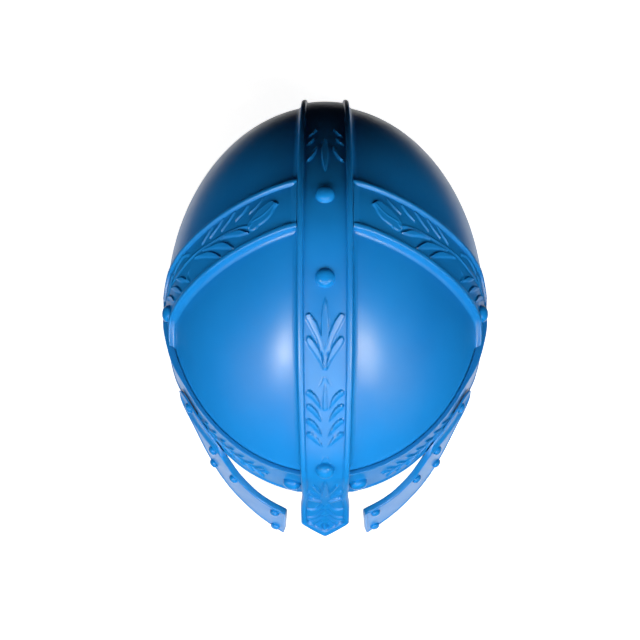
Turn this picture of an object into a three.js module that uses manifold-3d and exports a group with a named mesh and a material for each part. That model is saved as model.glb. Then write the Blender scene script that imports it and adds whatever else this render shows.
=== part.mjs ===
// Banded nasal helmet: a domed skull, a front-to-back crest band that runs down
// into the nose guard, a band from each ear up to the crest, a brow band across
// the front, two cheek guards hung from its ends, and domed rivets.
// Millimetres. The helmet's own frame has the face towards -Y, +X to the right of
// someone who faces it and +Z up, with z = 0 at the brow band's lower edge.
// The whole is then leaned back so that it rests on the two cheek guards' front
// corners and on the crest band's rear end.
import * as THREE from 'three';
import { mergeVertices } from 'three/addons/utils/BufferGeometryUtils.js';
import Module from 'manifold-3d';

const wasm = await Module();
wasm.setup();

// ---- driving dimensions --------------------------------------------------
const SKULL_HALF_WIDTH = 105;      // outer, at the dome's widest level
const SKULL_FRONT = 130.2;         // centre to the forehead, at that level
const SKULL_BACK = 142;            // centre to the nape, at that level
const SKULL_RISE = 109.5;          // widest level to the crown
const SKULL_BASE_Z = 23;           // the widest level
const SKULL_POWER = 1.57;          // dome section exponent: 2 is an ellipse
const CROWN_SOFTEN = 0.05;         // rounds the very top
const SKULL_WALL = 3;
const BROW_TOP = 36;               // brow band's height
const GAP = 0.3;                   // clearance between pieces that touch

const CREST_RIM = 5.0, CREST_PANEL = 2.9;       // heights over the dome
const CREST_HALF_CROWN = 16.6, CREST_HALF_BROW = 15.0, CREST_HALF_WAIST = 14.6,
  CREST_HALF_TIP = 15.1, CREST_HALF_REAR = 15.6;
const RIM_WIDTH = 3.2, RIM_SLOPE = 0.9;         // raised edge strips of the bands
const NOSE_DROP = 50, NOSE_POINT = 16;          // tip below the brow, chevron's height
const NOSE_FLARE = 9.5, NOSE_THICK = 4.4;

const SIDE_HALF = 17.3;                          // half width of the ear bands
const SIDE_RIM_TOP = 4.8, SIDE_RIM_FOOT = 3.3;
const SIDE_PANEL_TOP = 2.8, SIDE_PANEL_FOOT = 2.0;

const BROW_PROUD_FRONT = 2.6, BROW_PROUD_SIDE = 4.8, BROW_PROUD_END = 3.2;
const BROW_END_Y = -8;                           // brow band stops behind the ear

const CHEEK_OUT = 6.6, CHEEK_IN = 2.2;           // surfaces, from the dome's wall
const RIVET_R = 5.6, RIVET_H = 3.7, CHEEK_RIVET_R = 3.4, CHEEK_RIVET_H = 2.5;

const REST_CUT_CHEEK = 1.6, REST_CUT_REAR = 0.9; // small flats that it stands on

// ---- dome ----------------------------------------------------------------
const clamp = (v, a, b) => Math.min(b, Math.max(a, v));
const smooth = (v) => { v = clamp(v, 0, 1); return v * v * (3 - 2 * v); };
const lerp = (a, b, k) => a + (b - a) * k;
const soften = (r) => Math.sqrt(r * r + CROWN_SOFTEN ** 2)
  - CROWN_SOFTEN * Math.exp(-((r / 0.2) ** 2));
// below this level the wall drops straight: at the brow band's top in front,
// at the widest level behind the ears
const dropLevel = (y) => lerp(BROW_TOP, SKULL_BASE_Z, smooth((y + 46) / 40));
function domeField(x, y, z) {
  const b = y < 0 ? SKULL_FRONT : SKULL_BACK;
  const r = soften(Math.hypot(x / SKULL_HALF_WIDTH, y / b));
  const h = Math.max(z, dropLevel(y)) - SKULL_BASE_Z;
  return (r ** SKULL_POWER + (Math.max(h, 0) / SKULL_RISE) ** SKULL_POWER) ** (1 / SKULL_POWER) - 1;
}
function domeNormal(p) {
  const e = 0.05;
  const n = new THREE.Vector3(
    domeField(p.x + e, p.y, p.z) - domeField(p.x - e, p.y, p.z),
    domeField(p.x, p.y + e, p.z) - domeField(p.x, p.y - e, p.z),
    domeField(p.x, p.y, p.z + e) - domeField(p.x, p.y, p.z - e));
  if (n.length() < 1e-9) n.set(0, 0, 1);
  return n.normalize();
}
// the point of the dome on the line p + k dir, for k between lo and hi
function onDome(p, dir, lo = -40, hi = 40) {
  const f = (k) => domeField(p.x + k * dir.x, p.y + k * dir.y, p.z + k * dir.z);
  for (let i = 0; i < 60; i++) {
    const m = (lo + hi) / 2;
    if (f(m) < 0) lo = m; else hi = m;
  }
  const k = (lo + hi) / 2;
  return new THREE.Vector3(p.x + k * dir.x, p.y + k * dir.y, p.z + k * dir.z);
}
// wall outline under the dome: how far the dome has grown at its drop level
function wallScale(y) {
  const h = (dropLevel(y) - SKULL_BASE_Z) / SKULL_RISE;
  return (1 - h ** SKULL_POWER) ** (1 / SKULL_POWER);
}
const WALL = wallScale(-100);
const WALL_A = SKULL_HALF_WIDTH * WALL, WALL_F = SKULL_FRONT * WALL;
// front wall outline set off by d, at angle f from the forehead; side is -1 or 1
const wallPoint = (f, d, z, side) => {
  const x = WALL_A * Math.sin(f), y = -WALL_F * Math.cos(f);
  const n = new THREE.Vector3(x / WALL_A ** 2, y / WALL_F ** 2, 0).normalize();
  return new THREE.Vector3(side * (x + d * n.x), y + d * n.y, z);
};

// ---- mesh helpers --------------------------------------------------------
function geometryOf(points, faces) {
  let vol = 0;
  for (const [a, b, c] of faces) vol += points[a].dot(new THREE.Vector3().crossVectors(points[b], points[c]));
  const g = new THREE.BufferGeometry();
  g.setAttribute('position', new THREE.BufferAttribute(Float32Array.from(points.flatMap((p) => [p.x, p.y, p.z])), 3));
  g.setIndex(faces.flatMap(([a, b, c]) => (vol < 0 ? [a, c, b] : [a, b, c])));
  return g;
}
// a closed slab between two matching grids of points
function slab(outer, inner) {
  const rows = outer.length, cols = outer[0].length;
  const points = [], faces = [];
  for (const grid of [outer, inner]) for (const row of grid) points.push(...row);
  const at = (s, i, j) => s * rows * cols + i * cols + j;
  const quad = (a, b, c, d) => {
    // split along the shorter diagonal
    if (points[a].distanceTo(points[c]) <= points[b].distanceTo(points[d])) faces.push([a, b, c], [a, c, d]);
    else faces.push([a, b, d], [b, c, d]);
  };
  for (let i = 0; i < rows - 1; i++) for (let j = 0; j < cols - 1; j++) {
    quad(at(0, i, j), at(0, i + 1, j), at(0, i + 1, j + 1), at(0, i, j + 1));
    quad(at(1, i, j), at(1, i, j + 1), at(1, i + 1, j + 1), at(1, i + 1, j));
  }
  for (let i = 0; i < rows - 1; i++) {
    quad(at(0, i + 1, 0), at(0, i, 0), at(1, i, 0), at(1, i + 1, 0));
    quad(at(0, i, cols - 1), at(0, i + 1, cols - 1), at(1, i + 1, cols - 1), at(1, i, cols - 1));
  }
  for (let j = 0; j < cols - 1; j++) {
    quad(at(0, 0, j), at(0, 0, j + 1), at(1, 0, j + 1), at(1, 0, j));
    quad(at(0, rows - 1, j + 1), at(0, rows - 1, j), at(1, rows - 1, j), at(1, rows - 1, j + 1));
  }
  return geometryOf(points, faces);
}
function toSolid(geometry) {
  let g = geometry.clone();
  for (const k of Object.keys(g.attributes)) if (k !== 'position') g.deleteAttribute(k);
  g = mergeVertices(g, 1e-4);
  return new wasm.Manifold(new wasm.Mesh({
    numProp: 3,
    vertProperties: Float32Array.from(g.attributes.position.array),
    triVerts: Uint32Array.from(g.index.array),
  }));
}
function fromSolid(solid) {
  const m = solid.getMesh();
  const g = new THREE.BufferGeometry();
  const pos = new Float32Array((m.vertProperties.length / m.numProp) * 3);
  for (let i = 0; i < pos.length / 3; i++) for (let k = 0; k < 3; k++) pos[3 * i + k] = m.vertProperties[i * m.numProp + k];
  g.setAttribute('position', new THREE.BufferAttribute(pos, 3));
  g.setIndex(Array.from(m.triVerts));
  return g;
}
const mirror = (p) => new THREE.Vector3(-p.x, p.y, p.z);

// ---- skull ---------------------------------------------------------------
const SKULL_SLICES = 60;
function skullGeometry() {
  const levels = [];
  // meridian: from near the crown to the widest level, then straight down
  for (const deg of [4.5, 11, 18, 25.5, 33, 40.5, 48, 55.5, 62.5, 69.5, 76, 82]) levels.push({ arc: THREE.MathUtils.degToRad(deg) });
  levels.push({ z: 31 }, { z: 22 }, { z: 0 });
  const axis = new THREE.Vector3();
  const pointAt = (f, level) => {
    const c = Math.cos(f), s = Math.sin(f);
    if (level.arc !== undefined) {
      // along a fan of lines from the middle of the base
      const dir = new THREE.Vector3(Math.sin(level.arc) * c * SKULL_HALF_WIDTH,
        Math.sin(level.arc) * s * (s < 0 ? SKULL_FRONT : SKULL_BACK),
        Math.cos(level.arc) * SKULL_RISE).normalize();
      return onDome(axis.set(0, 0, SKULL_BASE_Z), dir, 20, 200).clone();
    }
    const dir = new THREE.Vector3(c * SKULL_HALF_WIDTH, s * (s < 0 ? SKULL_FRONT : SKULL_BACK), 0).normalize();
    return onDome(axis.set(0, 0, level.z), dir, 20, 200).clone();
  };
  const points = [], faces = [];
  const ring = [];
  for (let k = 0; k < 2; k++) {
    for (const level of levels) {
      const row = [];
      for (let i = 0; i < SKULL_SLICES; i++) {
        const p = pointAt((2 * Math.PI * i) / SKULL_SLICES, level);
        if (k) {
          const n = domeNormal(p);
          p.addScaledVector(n, -SKULL_WALL);
          if (level.z === 0) p.z = 0;
        }
        row.push(points.push(p) - 1);
      }
      ring.push(row);
    }
    const top = new THREE.Vector3(0, 0, SKULL_BASE_Z + SKULL_RISE - (k ? SKULL_WALL : 0));
    const apex = points.push(top) - 1;
    const first = ring[k * levels.length];
    for (let i = 0; i < SKULL_SLICES; i++) {
      const j = (i + 1) % SKULL_SLICES;
      faces.push(k ? [apex, first[j], first[i]] : [apex, first[i], first[j]]);
    }
    for (let r = 0; r < levels.length - 1; r++) {
      const up = ring[k * levels.length + r], down = ring[k * levels.length + r + 1];
      for (let i = 0; i < SKULL_SLICES; i++) {
        const j = (i + 1) % SKULL_SLICES;
        if (k) faces.push([up[i], up[j], down[j]], [up[i], down[j], down[i]]);
        else faces.push([up[i], down[j], up[j]], [up[i], down[i], down[j]]);
      }
    }
  }
  const lo = ring[levels.length - 1], li = ring[2 * levels.length - 1];
  for (let i = 0; i < SKULL_SLICES; i++) {
    const j = (i + 1) % SKULL_SLICES;
    faces.push([lo[i], li[i], li[j]], [lo[i], li[j], lo[j]]);
  }
  return geometryOf(points, faces);
}

// ---- bands: cross-section of two raised rims and a sunk panel -------------
function bandColumns(half, rim, panel, base) {
  const inner = half - RIM_WIDTH, foot = inner - RIM_SLOPE;
  return [
    [-half, rim], [-inner, rim], [-foot, panel], [-foot / 2, panel], [0, panel],
    [foot / 2, panel], [foot, panel], [inner, rim], [half, rim],
  ].map(([t, h]) => ({ t, h, base }));
}

// crest band: over the dome in the plane x = 0, then straight down in front
// over the brow band, then the nose guard
function crestGeometry() {
  const outer = [], inner = [];
  const push = (cols, place) => {
    outer.push(cols.map((c) => place(c.t, c.h)));
    inner.push(cols.map((c) => place(c.t, c.base)));
  };
  const flat = (t) => -WALL_F * Math.sqrt(1 - (t / WALL_A) ** 2);
  // nose guard, from the tip up
  const rimAt = (z) => (z >= 0 ? lerp(6.8, 6.1, smooth(z / BROW_TOP)) : 6.8 + NOSE_FLARE * ((-z) / NOSE_DROP) ** 1.6);
  const halfAt = (z) => (z < 3 ? lerp(CREST_HALF_WAIST, CREST_HALF_TIP, smooth((3 - z) / 30))
    : lerp(CREST_HALF_WAIST, CREST_HALF_BROW, smooth((z - 3) / 38)));
  const NOSE_STEPS = 6;
  for (let i = NOSE_STEPS; i >= 0; i--) {
    const k = i / NOSE_STEPS;
    const zMid = -0.5 + k * (-NOSE_DROP + 0.5);
    const half = halfAt(zMid);
    push(bandColumns(half, 0, 0, 0), (t, h) => {
      const zTip = -NOSE_DROP + NOSE_POINT * Math.abs(t) / half;
      return new THREE.Vector3(t, 0, -0.5 + k * (zTip + 0.5));
    });
    // set each point's depth from its own height
    const cols = bandColumns(half, 1, 0, 0);
    outer[outer.length - 1].forEach((p, j) => {
      const lift = rimAt(p.z) - 1.5 * (1 - cols[j].h);
      p.y = flat(p.x) - lift;
    });
    inner[inner.length - 1].forEach((p) => { p.y = flat(p.x) - rimAt(p.z) + NOSE_THICK; });
  }
  // over the brow band
  for (const z of [0, 12, 24, BROW_TOP + 0.4]) {
    const rim = rimAt(z);
    push(bandColumns(halfAt(z), rim, rim - 1.5, BROW_PROUD_FRONT + GAP + 0.05), (t, h) => new THREE.Vector3(t, flat(t) - h, z));
  }
  // over the dome: front, crown, rear
  const dome = (y, zHint, half, rim, panel) => {
    const c = zHint === null
      ? onDome(new THREE.Vector3(0, y, 60), new THREE.Vector3(0, 0, 1), 0, 90)
      : onDome(new THREE.Vector3(0, 0, zHint), new THREE.Vector3(0, Math.sign(y), 0), 20, 200);
    const n = domeNormal(c); n.x = 0; n.normalize();
    push(bandColumns(half, rim, panel, GAP), (t, h) => {
      const p = onDome(new THREE.Vector3(t, c.y, c.z), n, -12, 6);
      return p.addScaledVector(n, h);
    });
  };
  const rows = [];
  for (const z of [BROW_TOP + 0.8, 42, 50, 58, 66]) rows.push({ y: -1, z });
  for (const y of [-100, -91, -81, -70, -59, -47, -35, -24, -15, -7, 0, 7, 15, 26, 37, 49, 61, 73, 85, 96, 106]) rows.push({ y, z: null });
  for (const z of [82, 72, 62, 52, 42, 32, 22, 0]) rows.push({ y: 1, z });
  for (const r of rows) {
    const rear = r.y > 0, level = r.z === null ? 132 - Math.abs(r.y) * 0.4 : r.z;
    const k = clamp((120 - level) / 90, 0, 1);
    const half = lerp(CREST_HALF_CROWN, rear ? CREST_HALF_REAR : CREST_HALF_BROW, smooth(k));
    const lowFront = rear ? 0 : smooth((70 - level) / 30);
    const rim = lerp(CREST_RIM, 6.1, lowFront), panel = lerp(CREST_PANEL, 4.6, lowFront);
    dome(r.y, r.z, half, rim, panel);
  }
  return slab(outer, inner);
}

// ear bands: on each side, from the brow band's end up to the crest band.
// Their planes lean back towards the crown and their feet sweep forward.
const sideCentreY = (z) => -18.3 + 0.264 * (z - 23) - (z < 49 ? 10.5 * ((49 - z) / 13) ** 1.6 : 0);
function sideBandPoint(arc, t) {
  // arc: elevation in the frontal plane about the base's middle
  const f = (r) => domeField(r * Math.cos(arc), sideCentreY(SKULL_BASE_Z + r * Math.sin(arc)) + t, SKULL_BASE_Z + r * Math.sin(arc));
  let lo = 20, hi = 160;
  for (let i = 0; i < 50; i++) { const m = (lo + hi) / 2; if (f(m) < 0) lo = m; else hi = m; }
  const r = (lo + hi) / 2, z = SKULL_BASE_Z + r * Math.sin(arc);
  return new THREE.Vector3(r * Math.cos(arc), sideCentreY(z) + t, z);
}
function arcWhere(t, test) {
  let lo = 0, hi = Math.PI / 2 - 0.01;
  for (let i = 0; i < 50; i++) { const m = (lo + hi) / 2; if (test(sideBandPoint(m, t))) lo = m; else hi = m; }
  return (lo + hi) / 2;
}
function sideBandGeometry(side) {
  const outer = [], inner = [];
  const STEPS = 14;
  for (let i = 0; i <= STEPS; i++) {
    const k = i / STEPS;
    const foot = smooth(1 - k / 0.25);
    const cols = bandColumns(SIDE_HALF, lerp(SIDE_RIM_TOP, SIDE_RIM_FOOT, foot), lerp(SIDE_PANEL_TOP, SIDE_PANEL_FOOT, foot), GAP);
    const at = (t, h) => {
      const a0 = arcWhere(t, (p) => p.z < BROW_TOP + 0.35), a1 = arcWhere(t, (p) => p.x > CREST_HALF_CROWN + 0.35);
      const p = sideBandPoint(lerp(a0, a1, k), t);
      const n = domeNormal(p);
      if (i === STEPS) { n.x = 0; n.normalize(); }
      if (i === 0) { n.z = 0; n.normalize(); }
      p.addScaledVector(n, h);
      return side < 0 ? mirror(p) : p;
    };
    outer.push(cols.map((c) => at(c.t, c.h)));
    inner.push(cols.map((c) => at(c.t, c.base)));
  }
  return slab(outer, inner);
}

// ---- brow band: across the front from ear to ear --------------------------
const browProud = (f) => {
  const deg = THREE.MathUtils.radToDeg(Math.abs(f));
  return lerp(BROW_PROUD_FRONT, BROW_PROUD_SIDE, smooth((deg - 55) / 13))
    - (BROW_PROUD_SIDE - BROW_PROUD_END) * smooth((deg - 76) / 9);
};
const browEnd = Math.acos(-BROW_END_Y / WALL_F);
function browSolid(extra) {
  const outer = [], inner = [];
  const STEPS = 44;
  for (let i = 0; i <= STEPS; i++) {
    const f = lerp(-browEnd - extra * 0.003, browEnd + extra * 0.003, i / STEPS);
    const d = browProud(f) + extra;
    const ring = [[d - 0.6, 0 - extra], [d, 0.8 - extra], [d, 13], [d, 23.5], [d, 30], [d, BROW_TOP - 0.8 + extra], [d - 0.6, BROW_TOP + extra]];
    outer.push(ring.map(([e, z]) => wallPoint(Math.abs(f), e, z, Math.sign(f) || 1)));
    inner.push(ring.map(([, z]) => {
      // stay clear of the skull, which swells a little behind the temples
      const p = wallPoint(Math.abs(f), 0, z, Math.sign(f) || 1);
      const dir = wallPoint(Math.abs(f), 1, z, Math.sign(f) || 1).sub(p);
      const q = onDome(p, dir, -6, 6);
      return q.addScaledVector(dir, GAP + 0.05);
    }));
  }
  return slab(outer, inner);
}

// ---- cheek guards ----------------------------------------------------------
// outline as angle from the forehead (degrees) and height
const CHEEK_TOP = [[62, 8], [60.5, 14.5], [57, 17.5], [51, 18], [45.5, 14], [41, 8], [37.9, 2.2], [36.2, -4], [34.3, -11], [32.5, -17.5],
  [30.5, -22.5], [28.6, -26.5], [26.8, -30.2], [25, -33.2], [23.1, -35.7], [19.5, -39.4], [15.8, -42.5], [13.7, -44.6]];
const CHEEK_BOTTOM = [[62, 7], [60.5, 2.2], [57, 0.2], [53.5, -1.5], [50.6, -8.5], [48.6, -16], [46.6, -24.5], [44.4, -32], [42.4, -40], [40.4, -46.5],
  [38.2, -51.5], [36.1, -56], [32, -63], [28, -70], [24.2, -76.4], [20.3, -82.6], [17.2, -88.4], [15.1, -93]];
function cheekGeometry(side) {
  const along = (list, k) => {
    const pts = list.map(([a, z]) => new THREE.Vector3(a * 2.0, z, 0));
    return new THREE.CatmullRomCurve3(pts, false, 'centripetal').getPoint(k);
  };
  const outer = [], inner = [];
  const STEPS = 24, ACROSS = 4;
  for (let i = 0; i <= STEPS; i++) {
    const k = i / STEPS;
    const a = along(CHEEK_TOP, k), b = along(CHEEK_BOTTOM, k);
    const ro = [], ri = [];
    for (let j = 0; j <= ACROSS; j++) {
      const m = j / ACROSS, f = THREE.MathUtils.degToRad(lerp(a.x, b.x, m) / 2.0), z = lerp(a.y, b.y, m);
      // thin where it laps the brow band
      ro.push(wallPoint(f, lerp(CHEEK_OUT, browProud(f) + 1.75, smooth((z - 0.5) / 7)), z, side));
      ri.push(wallPoint(f, CHEEK_IN, z, side));
    }
    outer.push(ro); inner.push(ri);
  }
  return slab(outer, inner);
}

// ---- rivets ---------------------------------------------------------------
function rivetGeometry(r, h) {
  const profile = [[0, 0], [r, 0], [0.97 * r, 0.3 * h], [0.75 * r, 0.74 * h], [0.38 * r, 0.96 * h], [0, h]].map(([x, y]) => new THREE.Vector2(x, y));
  return new THREE.LatheGeometry(profile, 12);
}
function seat(p, n) {
  const q = new THREE.Quaternion().setFromUnitVectors(new THREE.Vector3(0, 1, 0), n.clone().normalize());
  return new THREE.Matrix4().compose(p, q, new THREE.Vector3(1, 1, 1));
}
const rivets = [];
const addRivet = (name, p, n, r, h) => rivets.push({ name, p, n, r, h });
for (const [name, y] of [['rivet_crest_top', 12.5], ['rivet_crest_front', -36.6]]) {
  const c = onDome(new THREE.Vector3(0, y, 60), new THREE.Vector3(0, 0, 1), 0, 90);
  const n = domeNormal(c);
  addRivet(name, c.clone().addScaledVector(n, CREST_PANEL + 0.45), n, RIVET_R, RIVET_H);
}
{
  const c = onDome(new THREE.Vector3(0, 0, 43), new THREE.Vector3(0, -1, 0), 20, 200);
  const n = domeNormal(c);
  addRivet('rivet_crest_brow', c.clone().addScaledVector(n, 4.7 + 0.7), n, RIVET_R, RIVET_H);
  const r = onDome(new THREE.Vector3(0, 0, 14), new THREE.Vector3(0, 1, 0), 20, 200);
  addRivet('rivet_crest_rear', r.clone().add(new THREE.Vector3(0, CREST_PANEL + 0.45, 0)), new THREE.Vector3(0, 1, 0), RIVET_R, RIVET_H);
}
const D = THREE.MathUtils.degToRad;
for (const side of [-1, 1]) {
  const tag = side < 0 ? 'left' : 'right';
  {
    const p = sideBandPoint(arcWhere(0, (q) => q.z < 43.5), -7.0);
    const n = domeNormal(p);
    p.addScaledVector(n, SIDE_PANEL_FOOT + 0.25 + 0.7);
    addRivet(`rivet_side_${tag}`, side < 0 ? mirror(p) : p, side < 0 ? mirror(n) : n, RIVET_R, RIVET_H);
  }
  const onWall = (name, deg, z, d, r, h) => {
    const f = D(deg), p = wallPoint(f, d, z, side), n = wallPoint(f, d + 1, z, side).sub(p);
    addRivet(`${name}_${tag}`, p, n, r, h);
  };
  onWall('rivet_brow', 11.4, 16, BROW_PROUD_FRONT + 0.45, RIVET_R, RIVET_H);
  onWall('rivet_temple', 55, 11.8, 2.6 + 1.75 + 0.5, CHEEK_RIVET_R + 0.2, CHEEK_RIVET_H);
  onWall('rivet_cheek_a', 41.6, -2, CHEEK_OUT + 0.4, CHEEK_RIVET_R, CHEEK_RIVET_H);
  onWall('rivet_cheek_b', 42.6, -32, CHEEK_OUT + 0.4, CHEEK_RIVET_R, CHEEK_RIVET_H);
  onWall('rivet_cheek_c', 33.4, -25, CHEEK_OUT + 0.4, CHEEK_RIVET_R, CHEEK_RIVET_H);
  onWall('rivet_cheek_d', 17.9, -48.8, CHEEK_OUT + 0.4, CHEEK_RIVET_R, CHEEK_RIVET_H);
  onWall('rivet_cheek_e', 18.2, -81, CHEEK_OUT + 0.4, CHEEK_RIVET_R, CHEEK_RIVET_H);
}

// ---- resting lean and assembly --------------------------------------------
const solids = new Map();
solids.set('skull', skullGeometry());
solids.set('brow_band', browSolid(0));
solids.set('crest_band', crestGeometry());
solids.set('side_band_left', sideBandGeometry(-1));
solids.set('side_band_right', sideBandGeometry(1));
const browClear = toSolid(browSolid(GAP));
for (const side of [-1, 1]) {
  const cheek = toSolid(cheekGeometry(side)).subtract(browClear);
  solids.set(side < 0 ? 'cheek_guard_left' : 'cheek_guard_right', fromSolid(cheek));
}
for (const r of rivets) {
  const g = rivetGeometry(r.r, r.h);
  g.applyMatrix4(seat(r.p, r.n));
  solids.set(r.name, g);
}

// the plane that it rests on, in the helmet's frame
const lowest = (g, dir) => {
  let best = null, v = new THREE.Vector3();
  const a = g.attributes.position;
  for (let i = 0; i < a.count; i++) {
    v.fromBufferAttribute(a, i);
    if (!best || v.dot(dir) < best.dot(dir)) best = v.clone();
  }
  return best;
};
const rearOnly = (g) => {
  const a = g.attributes.position, keep = [];
  for (let i = 0; i < a.count; i++) if (a.getY(i) > 0) keep.push(a.getX(i), a.getY(i), a.getZ(i));
  const out = new THREE.BufferGeometry();
  out.setAttribute('position', new THREE.BufferAttribute(Float32Array.from(keep), 3));
  return out;
};
const crestRear = rearOnly(solids.get('crest_band'));
let leanLow = 0.1, leanHigh = 0.6;
for (let i = 0; i < 40; i++) {
  const a = (leanLow + leanHigh) / 2, dir = new THREE.Vector3(0, -Math.sin(a), Math.cos(a));
  const hc = lowest(solids.get('cheek_guard_left'), dir).dot(dir) + REST_CUT_CHEEK;
  const hr = lowest(crestRear, dir).dot(dir) + REST_CUT_REAR;
  if (hc < hr) leanLow = a; else leanHigh = a;
}
const lean = (leanLow + leanHigh) / 2;
const down = new THREE.Vector3(0, -Math.sin(lean), Math.cos(lean));
const floor = lowest(solids.get('cheek_guard_left'), down).dot(down) + REST_CUT_CHEEK;

const slabBelow = new THREE.BoxGeometry(600, 600, 200);
slabBelow.translate(0, 0, -100);
slabBelow.applyMatrix4(new THREE.Matrix4().makeRotationX(lean));
slabBelow.translate(down.x * floor, down.y * floor, down.z * floor);
const ground = toSolid(slabBelow);
for (const name of ['cheek_guard_left', 'cheek_guard_right', 'crest_band']) {
  solids.set(name, fromSolid(toSolid(solids.get(name)).subtract(ground)));
}

const finishes = {
  skull: [0x1267c4, 0.28], brow_band: [0x1162bd, 0.3], crest_band: [0x1162bd, 0.3], side: [0x1162bd, 0.3],
  cheek: [0x1568c2, 0.3], rivet: [0x1a70cc, 0.25],
};
const helmet = new THREE.Group();
helmet.rotation.x = -lean;
const box = new THREE.Box3();
helmet.updateMatrixWorld(true);
for (const [name, g] of solids) {
  const key = Object.keys(finishes).find((k) => name.startsWith(k));
  const [color, roughness] = finishes[key];
  const mesh = new THREE.Mesh(g, new THREE.MeshStandardMaterial({ color, roughness, metalness: 0 }));
  mesh.name = name;
  helmet.add(mesh);
}
helmet.updateMatrixWorld(true);
box.setFromObject(helmet, true);
helmet.position.set(-(box.min.x + box.max.x) / 2, -(box.min.y + box.max.y) / 2, -box.min.z);

export default helmet;
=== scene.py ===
import math

import bpy
import numpy as np
from mathutils import Matrix, Vector


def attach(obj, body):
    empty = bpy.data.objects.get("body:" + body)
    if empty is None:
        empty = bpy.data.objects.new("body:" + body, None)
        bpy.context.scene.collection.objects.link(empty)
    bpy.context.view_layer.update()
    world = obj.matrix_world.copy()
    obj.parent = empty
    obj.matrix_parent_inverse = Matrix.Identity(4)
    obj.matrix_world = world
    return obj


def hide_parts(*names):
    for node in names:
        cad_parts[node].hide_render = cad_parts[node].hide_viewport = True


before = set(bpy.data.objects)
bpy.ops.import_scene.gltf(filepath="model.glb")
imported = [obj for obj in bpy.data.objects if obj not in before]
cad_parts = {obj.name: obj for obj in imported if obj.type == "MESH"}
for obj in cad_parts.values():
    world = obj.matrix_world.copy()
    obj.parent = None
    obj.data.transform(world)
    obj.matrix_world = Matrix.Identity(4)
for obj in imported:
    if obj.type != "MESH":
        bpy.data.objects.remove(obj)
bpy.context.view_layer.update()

# The helmet's own frame has the face towards -Y and z = 0 at the brow band's lower
# edge, in millimetres. World = the same, leaned back about X, then moved.
LEAN = math.radians(18.815155594678203)
OFFSET = np.array([0.0, 2.6182758, 46.131698])
COS, SIN = math.cos(LEAN), math.sin(LEAN)


def to_world(p):
    """Helmet frame, millimetres, to the row frame, metres."""
    p = np.asarray(p, float)
    out = np.empty_like(p)
    out[..., 0] = p[..., 0]
    out[..., 1] = p[..., 1] * COS + p[..., 2] * SIN
    out[..., 2] = -p[..., 1] * SIN + p[..., 2] * COS
    return (out + OFFSET) / 1000.0


# ---- the dome --------------------------------------------------------------
HALF_WIDTH, FRONT, BACK, RISE, BASE_Z, POWER, SOFT = 105.0, 130.2, 142.0, 109.5, 23.0, 1.57, 0.05
BROW_TOP, SHELL_WALL, GAP = 36.0, 3.0, 0.3


def smooth(v):
    v = np.clip(v, 0.0, 1.0)
    return v * v * (3 - 2 * v)


def lerp(a, b, k):
    return a + (b - a) * k


def dome_field(p):
    x, y, z = p[..., 0], p[..., 1], p[..., 2]
    b = np.where(y < 0, FRONT, BACK)
    r = np.hypot(x / HALF_WIDTH, y / b)
    r = np.sqrt(r * r + SOFT ** 2) - SOFT * np.exp(-((r / 0.2) ** 2))
    drop = BROW_TOP + (BASE_Z - BROW_TOP) * smooth((y + 46) / 40)
    h = np.maximum(z, drop) - BASE_Z
    return (r ** POWER + (np.maximum(h, 0) / RISE) ** POWER) ** (1 / POWER) - 1


def dome_normal(p):
    e = 0.05
    n = np.stack([dome_field(p + d) - dome_field(p - d) for d in np.eye(3) * e], -1)
    return unit(n)


def unit(v):
    return v / np.maximum(np.linalg.norm(v, axis=-1, keepdims=True), 1e-9)


def on_dome(p, d, lo=-40.0, hi=40.0, n=44):
    lo = np.full(p.shape[:-1], lo)
    hi = np.full(p.shape[:-1], hi)
    for _ in range(n):
        m = (lo + hi) / 2
        inside = dome_field(p + m[..., None] * d) < 0
        lo = np.where(inside, m, lo)
        hi = np.where(inside, hi, m)
    return p + ((lo + hi) / 2)[..., None] * d


WALL = (1 - ((BROW_TOP - BASE_Z) / RISE) ** POWER) ** (1 / POWER)
WALL_A, WALL_F = HALF_WIDTH * WALL, FRONT * WALL


def wall_point(f, d, z, side):
    """Front wall outline set off by d, at angle f from the forehead."""
    x, y = WALL_A * np.sin(f), -WALL_F * np.cos(f)
    n = unit(np.stack([x / WALL_A ** 2, y / WALL_F ** 2], -1))
    return np.stack([side * (x + d * n[..., 0]), y + d * n[..., 1], z + 0 * x], -1)


# ---- mesh making -----------------------------------------------------------
def make_object(name, points, faces, sharp=34.0):
    """points in the helmet frame, mm; faces a list of index arrays of equal length."""
    mesh = bpy.data.meshes.new(name)
    verts = to_world(points)
    loops = np.concatenate([f.ravel() for f in faces]).astype(np.int32)
    sizes = np.concatenate([np.full(len(f), f.shape[1]) for f in faces]).astype(np.int32)
    starts = np.concatenate([[0], np.cumsum(sizes)[:-1]]).astype(np.int32)
    mesh.vertices.add(len(verts))
    mesh.vertices.foreach_set("co", verts.astype(np.float32).ravel())
    mesh.loops.add(len(loops))
    mesh.loops.foreach_set("vertex_index", loops)
    mesh.polygons.add(len(sizes))
    mesh.polygons.foreach_set("loop_start", starts)
    mesh.polygons.foreach_set("loop_total", sizes)
    mesh.update(calc_edges=True)
    mesh.validate()
    mesh.shade_smooth()
    if sharp:
        mesh.set_sharp_from_angle(angle=math.radians(sharp))
    obj = bpy.data.objects.new(name, mesh)
    bpy.context.scene.collection.objects.link(obj)
    # faces point outwards when the signed volume is positive
    tri = [(f[:, [0, i, i + 1]]) for f in faces for i in range(1, f.shape[1] - 1)]
    tri = np.concatenate(tri)
    a, b, c = (verts[tri[:, k]] for k in range(3))
    if np.einsum("ij,ij->i", a, np.cross(b, c)).sum() < 0:
        mesh.flip_normals()
    return obj


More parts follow.
